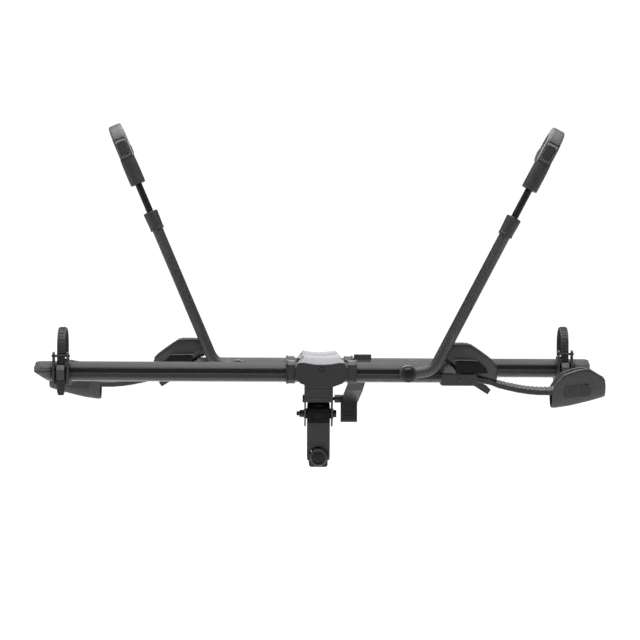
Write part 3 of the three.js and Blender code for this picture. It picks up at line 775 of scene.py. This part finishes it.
    def inner_scoop(self) -> None:
        """The taller scoop beside the arm."""
        self.shell("inner_wheel_scoop", [
            (303, 30, 64, 27, 31), (308, 29, 71, 27, 32), (318, 26, 73, 28, 34), (336, -2, 73.5, 28, 36),
            (360, -6, 73.5, 28, 37), (371, -8, 72, 28, 38), (386, -14, 62, 28, 39), (406, -20, 48, 28, 40),
            (424, -24, 34, 28, 41), (433, -25, 24, 28, 41), (436, -24, 8, 28, 40), (437, -22, -3, 28, 38)],
            "inner_scoop")
        bm = bmesh.new()
        for side in (-1, 1):
            y = side * 37.0
            start, end = Vector((330, y, 34)), Vector((392, y, 33))
            swept(bm, [Station(start.lerp(end, t), Y, Z, w * 3.6, w * 1.7, 3.0)
                       for t, w in ((0, 0.6), (0.04, 1), (0.9, 1), (1, 0.3))], 16)
        self.tray.add("scoop_ledges", bm, NYLON_MID)
        bm = bmesh.new()
        for y in (-34.5, 31.5):
            prism_y(bm, [(380, -30), (414, -51.5), (422, -40), (410, -28), (392, -22)], y, y + 3)
        soften(bm, 0.8)
        self.tray.add("scoop_skirts", bm, NYLON_BLACK)
        bm = bmesh.new()
        prism_y(bm, [(302, 1), (307, 15), (326, 18), (333, 8), (343, 5), (346, 0)], -36.5, -24)
        soften(bm, 1.2)
        self.tray.add("sleeve_clip", bm, NYLON_MID)
        # Painted shade: a thin near black panel on the scoop's near wall stands in for the shadow in the cavity
        # under its flare.
        bm = bmesh.new()
        prism_y(bm, [(334, 1), (334, 29), (392, 30), (408, 14), (414, 1)], -38.2, -36.6)
        soften(bm, 0.5)
        self.tray.add("scoop_shade_panel", bm, BUSH_NYLON_AND_PAINTED_SHADE)


# ---------------------------------------------------------------- rear-wheel strap
@dataclass
class WheelStrap:
    """Carriage, roller, pawl and ladder strap for the rear wheel."""

    tray: Tray
    x: float = -645.0
    half_width: float = 10.0
    rung_pitch: float = 6.0
    crown: Point = (1.0, 62.5)
    loop_radius: float = 45.0

    def build(self) -> None:
        """Builds the strap's pieces."""
        tray = self.tray
        refine(tray.name("strap_carriage"), f"{tray.prefix}_strap", 1.4)
        refine(tray.name("strap_roller"), f"{tray.prefix}_strap", 0.5)
        refine(tray.name("strap_pawl"), f"{tray.prefix}_pawl", 1.6)
        self.strap()

    def path(self) -> list[Point]:
        """The strap's centre line in Y and Z, from the far post over the wheel to the tail."""
        crown = arc(self.crown, self.loop_radius, 0, 180, 40)
        return [(46.0, z) for z in range(33, 62, 4)] + crown + [(-44.3, 61 - 4 * i) for i in range(1, 18)] \
            + [(-45.0, -10 - 4 * i) for i in range(1, 13)]

    def strap(self) -> None:
        """The strap with raised rungs on its outer face and a rounded tail."""
        route = self.path()
        stations = []
        for i, (y, z) in enumerate(route):
            before, after = Vector(route[max(i - 1, 0)]), Vector(route[min(i + 1, len(route) - 1)])
            along = (after - before).normalized()
            out = Vector((0, along.y, -along.x)) * -1
            left = len(route) - 1 - i
            width = self.half_width * (math.sqrt(max(0.05, 1 - ((3 - left) / 3.2) ** 2))
                                       if left < 3 else 1.0)
            stations.append(Station(Vector((self.x, y, z)), X, out, width, 1.7, 5.0))
        bm = bmesh.new()
        swept(bm, stations, 24)
        self.tray.add("ladder_strap_band", bm, STRAP_RUBBER, f"{self.tray.prefix}_strap", ["ladder_strap"])
        bm = bmesh.new()
        travelled = 0.0
        for (y0, z0), (y1, z1) in zip(route, route[1:]):
            step = math.hypot(y1 - y0, z1 - z0)
            passed = int((travelled + step) / self.rung_pitch) > int(travelled / self.rung_pitch)
            if passed and travelled > 12:
                along = Vector((0, y1 - y0, z1 - z0)).normalized()
                out = along.cross(X)
                if out.dot(Vector((0, y0 - self.crown[0], z0 - self.crown[1]))) < 0:
                    out = -out
                centre = Vector((self.x, (y0 + y1) / 2, (z0 + z1) / 2)) + out * 1.9
                swept(bm, [Station(centre + X * dx, along, out, 1.3, h, 3.0)
                           for dx, h in ((-7.6, 0.5), (-7, 1.1), (7, 1.1), (7.6, 0.5))], 10)
            travelled += step
        self.tray.add("ladder_strap_rungs", bm, STRAP_RUBBER, f"{self.tray.prefix}_strap")


# ---------------------------------------------------------------- arm and hook
@dataclass
class Arm:
    """Bent arm tube, end collar, sliding rod, hook and push button."""

    tray: Tray
    offset: float = 52.0
    tube_radius: float = 14.3
    bend_radius: float = 50.0
    start_angle: float = 54.5
    hook_base: float = 543.0
    hook_top: float = 711.0
    hook_span: float = 98.0

    def __post_init__(self) -> None:
        """Finds the pivot and the lean of the arm from its joints."""
        prefix = self.tray.prefix
        self.body = f"{prefix}_arm"
        self.hook_body = f"{prefix}_hook_slide"
        pivot = Vector(joint(f"{prefix}_arm_swing")["pos_m"])
        slide = joint(f"{prefix}_hook_extend")["axis"]
        lean = math.atan2(slide[0], slide[2])
        mirror = Matrix.Diagonal((self.tray.hand, 1, 1, 1))
        self.place = Matrix.Translation(pivot) @ Matrix.Rotation(lean, 4, "Y") @ mirror

    def add(self, part: str, bm: BMesh, finish: Finish, body: str,
            stands_for: Sequence[str] = ()) -> bpy.types.Object:
        """Finishes a piece drawn upright about the arm's own pivot."""
        return finish_piece(self.tray.name(part), bm, finish, body, [self.tray.name(n) for n in stands_for],
                            self.place)

    def build(self) -> None:
        """Builds the arm from the pivot up."""
        self.tube()
        self.pivot()
        self.collar()
        self.rod()
        self.hook()
        self.button()

    def tube(self) -> None:
        """The swept tube and the pivot eye that it is welded to."""
        start = math.radians(self.start_angle)
        lead = (self.offset - self.bend_radius * (1 - math.cos(start))) / math.sin(start)
        bend_z = lead * math.cos(start) + self.bend_radius * math.sin(start)
        route = [(8 * math.sin(start), 8 * math.cos(start), start),
                 (16 * math.sin(start), 16 * math.cos(start), start)]
        for i in range(15):
            angle = start * (1 - i / 14)
            route.append((self.offset - self.bend_radius * (1 - math.cos(angle)),
                          bend_z - self.bend_radius * math.sin(angle), angle))
        route += [(self.offset, bend_z + 40, 0.0), (self.offset, 200, 0.0)]
        stations = [Station(Vector((x, 0, z)), Vector((math.cos(a), 0, -math.sin(a))), Y, self.tube_radius,
                            self.tube_radius) for x, z, a in route]
        bm = bmesh.new()
        swept(bm, stations, 48)
        spun(bm, [(9.7, 200), (self.tube_radius, 200), (self.tube_radius, 454), (9.7, 454)],
             Vector((self.offset, 0, 0)), Z, 48)
        spun(bm, [(8.4, -14.5), (19.6, -14.5), (21, -13), (21, 13), (19.6, 14.5), (8.4, 14.5)],
             Vector((0, 0, 0)), Y, 64)
        self.add("arm_tube_swept", bm, POWDER_STEEL, self.body, ["arm_tube"])

    def pivot(self) -> None:
        """The pivot bolt with its chamfered cap."""
        node = self.tray.name("arm_pivot_bolt")
        low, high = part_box(node)
        centre = (low + high) / 2 / MM
        front = low.y / MM
        bm = bmesh.new()
        spun(bm, [(0.01, 0), (10.5, 0), (12, 0.6), (16.5, 4.4), (16.5, 5.6), (15.6, 6.0), (8, 6.0),
                  (8, 36.6), (18, 36.6), (19, 37.4), (19, 45.6), (8, 46.4), (0.01, 46.4)],
             Vector((centre.x, front, centre.z)), Y, 56)
        finish_piece(f"{node}_finished", bm, BLACK_ZINC, "platform", [node])

    def collar(self) -> None:
        """The tapered collar on the tube's end, with a lip at its foot."""
        centre = Vector((self.offset, 0, 0))
        bm = bmesh.new()
        spun(bm, [(14.6, 414), (17.6, 414), (18.4, 414.8), (18.4, 419), (17.8, 419.8), (19.2, 460),
                  (19.0, 462.6), (17.6, 464), (11, 464), (9.6, 462.8), (9.6, 456.4), (14.6, 455.6)],
             centre, Z, 48)
        self.add("arm_end_collar", bm, NYLON_BLACK, self.body, ["arm_collar"])

    def rod(self) -> None:
        """The sliding rod with shallow ratchet notches down its near side."""
        bm = bmesh.new()
        bar(bm, Vector((self.offset, 0, 300)), Vector((self.offset, 0, self.hook_base + 16)), (9.0, 9.0),
            40)
        self.add("slide_rod_plain", bm, BLACK_ZINC, self.hook_body, ["slide_rod"])
        bm = bmesh.new()
        for i in range(11):
            z = 470 + 6.4 * i
            spun(bm, [(8.8, z), (9.25, z + 0.5), (9.25, z + 1.6), (8.8, z + 2.1)],
                 Vector((self.offset, 0, 0)), Z, 32)
        self.add("rod_ratchet_rings", bm, BLACK_ZINC, self.hook_body)

    def hook(self) -> None:
        """The sleeve and the hook that goes over the tyre."""
        sleeve = bmesh.new()
        base = Vector((self.offset, 0, self.hook_base))
        heights = [(0, 19.0, 2.2), (1.5, 20.2, 2.2), (20, 20.5, 2.3), (55, 20.3, 2.6), (70, 19.6, 3.0),
                   (75, 19.0, 3.2)]
        swept(sleeve, [Station(base + Z * h, X, Y, r, r * 0.98, s) for h, r, s in heights], 48)
        self.add("hook_sleeve", sleeve, NYLON_BLACK, self.hook_body, ["hook"])
        mid, crown = self.hook_span / 2, self.hook_top - 52
        stations = [Station(Vector((self.offset, 0, z)), X, Y, 17.8, 15.4, 7.0)
                    for z in (617, 630, 645, crown)]
        for i in range(1, 15):
            turn = math.pi * (1 - i / 14)
            t = i / 14
            centre = Vector((self.offset, mid + (mid + 1 - 2 * t) * math.cos(turn),
                             crown + 43 * math.sin(turn)))
            normal = Vector((0, math.cos(turn) * 43, math.sin(turn) * mid)).normalized()
            stations.append(Station(centre, X, normal, 17.8 - 1.6 * t, 13.6 - 5.0 * t + 4 * abs(0.5 - t),
                                    6.0))
        for z, half, thick in ((650, 15.5, 9.0), (638, 14.5, 8.2), (628, 12.5, 7.0), (623, 9.0, 4.5)):
            stations.append(Station(Vector((self.offset - 3, self.hook_span - 2, z - 5)), X, Y, half, thick,
                                    3.0))
        bm = bmesh.new()
        swept(bm, stations, 40)
        self.add("hook_crown", bm, NYLON_MID, self.hook_body)

    def button(self) -> None:
        """The push button in its frame, with a bright bevel along its top."""
        body = f"{self.tray.prefix}_button"
        x, front = self.offset, -17.4
        bm = bmesh.new()
        face = outline(bm, [(x - 11, 625), (x + 11, 625), (x + 11, 663), (x - 11, 663)],
                       lambda a, b: Vector((a, -8.4, b)))
        push(bm, face, Vector((0, front + 8.4, 0)))
        soften(bm, 2.2, 3)
        self.add("hook_button_pad", bm, NYLON_BLACK, body, ["hook_button"])
        bm = bmesh.new()
        ring = [(x - 17.6, 616), (x + 17.6, 616), (x + 17.6, 671), (x - 17.6, 671)]
        face = outline(bm, ring, lambda a, b: Vector((a, -14.6, b)))
        bmesh.ops.inset_region(bm, faces=[face], thickness=3.2 * MM, use_boundary=True,
                               use_even_offset=True)
        bmesh.ops.delete(bm, geom=[face], context="FACES")
        shell = bmesh.ops.extrude_face_region(bm, geom=bm.faces[:], use_keep_orig=True)["geom"]
        bmesh.ops.translate(bm, verts=[v for v in shell if isinstance(v, bmesh.types.BMVert)],
                            vec=Y * -5.4 * MM)
        soften(bm, 1.2, 2)
        self.add("hook_button_frame", bm, HUB_NYLON, self.hook_body)
        bm = bmesh.new()
        prism_x(bm, [(-17.2, 659), (-8.8, 659), (-8.8, 667.6), (-15.6, 667.6)], x - 13.6, x + 13.6)
        soften(bm, 0.8)
        self.add("hook_button_sill", bm, ABS_GREY, self.hook_body)


# ---------------------------------------------------------------- stage
@dataclass
class Studio:
    """Pale floor, soft lights and the camera."""

    floor_drop: float = 0.42
    distance: float = 5.2
    eye_height: float = 0.236
    eye_left: float = 0.091
    lens_mm: float = 117.0
    pitch: float = 1.157
    yaw: float = 0.962
    roll: float = 0.32

    def build(self) -> None:
        """Builds the stage."""
        self.floor()
        self.world()
        self.camera()
        self.lights()

    def floor(self) -> None:
        """A wide pale floor below the rack."""
        bm = bmesh.new()
        matrix = Matrix.Translation((0, 8, -self.floor_drop))
        bmesh.ops.create_grid(bm, x_segments=2, y_segments=2, size=40, matrix=matrix)
        mesh = bpy.data.meshes.new("studio_floor")
        bm.to_mesh(mesh)
        bm.free()
        material = bpy.data.materials.new("matte_studio_floor")
        material.use_nodes = True
        tree = material.node_tree
        tree.nodes.clear()
        place = add_node(tree, "ShaderNodeTexCoord", {}).outputs["Object"]
        speckle = add_node(tree, "ShaderNodeTexNoise", {"Scale": 3.0, "Detail": 4.0},
                           {"Vector": place}).outputs["Fac"]
        rough = add_node(tree, "ShaderNodeMapRange", {"To Min": 0.8, "To Max": 0.95}, {"Value": speckle})
        seen = add_node(tree, "ShaderNodeLightPath", {}).outputs["Is Camera Ray"]
        lift = add_node(tree, "ShaderNodeMapRange", {"To Min": 0.35, "To Max": 1.0}, {"Value": seen})
        shader = add_node(tree, "ShaderNodeBsdfPrincipled", {"Base Color": linear("f4f4f4"),
                                                             "Emission Color": linear("ffffff")},
                          {"Roughness": rough.outputs["Result"],
                           "Emission Strength": lift.outputs["Result"]})
        add_node(tree, "ShaderNodeOutputMaterial", {}, {"Surface": shader.outputs["BSDF"]})
        mesh.materials.append(material)
        floor = bpy.data.objects.new("studio_floor", mesh)
        bpy.context.scene.collection.objects.link(floor)

    def world(self) -> None:
        """White to the eye, dimmer as a light."""
        world = bpy.data.worlds.new("studio")
        world.use_nodes = True
        tree = world.node_tree
        tree.nodes.clear()
        seen = add_node(tree, "ShaderNodeLightPath", {}).outputs["Is Camera Ray"]
        strength = add_node(tree, "ShaderNodeMapRange", {"To Min": 0.07, "To Max": 1.05}, {"Value": seen})
        glow = add_node(tree, "ShaderNodeBackground", {"Color": linear("ffffff")},
                        {"Strength": strength.outputs["Result"]})
        add_node(tree, "ShaderNodeOutputWorld", {}, {"Surface": glow.outputs["Background"]})
        bpy.context.scene.world = world
        bpy.context.scene.view_settings.view_transform = "Standard"

    def camera(self) -> None:
        """The camera stands behind the vehicle, level with the tray tops."""
        centre = centre_of("outer_strap_tray")
        data = bpy.data.cameras.new("camera")
        data.lens = self.lens_mm
        data.clip_end = 200
        camera = bpy.data.objects.new("camera", data)
        turn = Matrix.Rotation(math.radians(-self.yaw), 4, "Z")
        turn = turn @ Matrix.Rotation(math.radians(90 - self.pitch), 4, "X")
        turn = turn @ Matrix.Rotation(math.radians(self.roll), 4, "Z")
        place = Vector((-self.eye_left, centre.y * MM - self.distance, centre.z * MM + self.eye_height))
        camera.matrix_world = Matrix.Translation(place) @ turn
        bpy.context.scene.collection.objects.link(camera)
        bpy.context.scene.camera = camera

    def lights(self) -> None:
        """Broad overhead and high front lights, two weak side fills and a rim light behind."""
        for name, place, size, power, target in (
                ("overhead", (0.0, -0.6, 3.0), 3.6, 200.0, (0, -0.4, 0.3)),
                ("high_front", (0.0, -4.0, 4.2), 3.2, 85.0, (0, -0.4, 0.3)),
                ("left_fill", (-4.2, -1.0, 1.6), 1.8, 30.0, (0, -0.4, 0.3)),
                ("right_fill", (4.2, -1.0, 1.6), 1.8, 14.0, (0, -0.4, 0.3)),
                ("rear_rim", (0.0, 4.2, 1.6), 2.6, 60.0, (0, -0.4, 0.4))):
            data = bpy.data.lights.new(name, "AREA")
            data.size = size
            data.energy = power
            lamp = bpy.data.objects.new(name, data)
            aim = Vector(target) - Vector(place)
            facing = aim.to_track_quat("-Z", "Y").to_matrix().to_4x4()
            lamp.matrix_world = Matrix.Translation(place) @ facing
            bpy.context.scene.collection.objects.link(lamp)


def main() -> None:
    """Builds the rack and its stage."""
    logging.basicConfig(level=logging.INFO, format="%(name)s: %(message)s")
    Studio().build()
    HitchEnd().build()
    TiltBracket().build()
    for node in ("outer_hub", "inner_hub"):
        Hub(node).build()
    for prefix, hand in (("outer", 1), ("inner", -1)):
        Tray(prefix, hand).build()


if __name__ == "__main__":
    main()
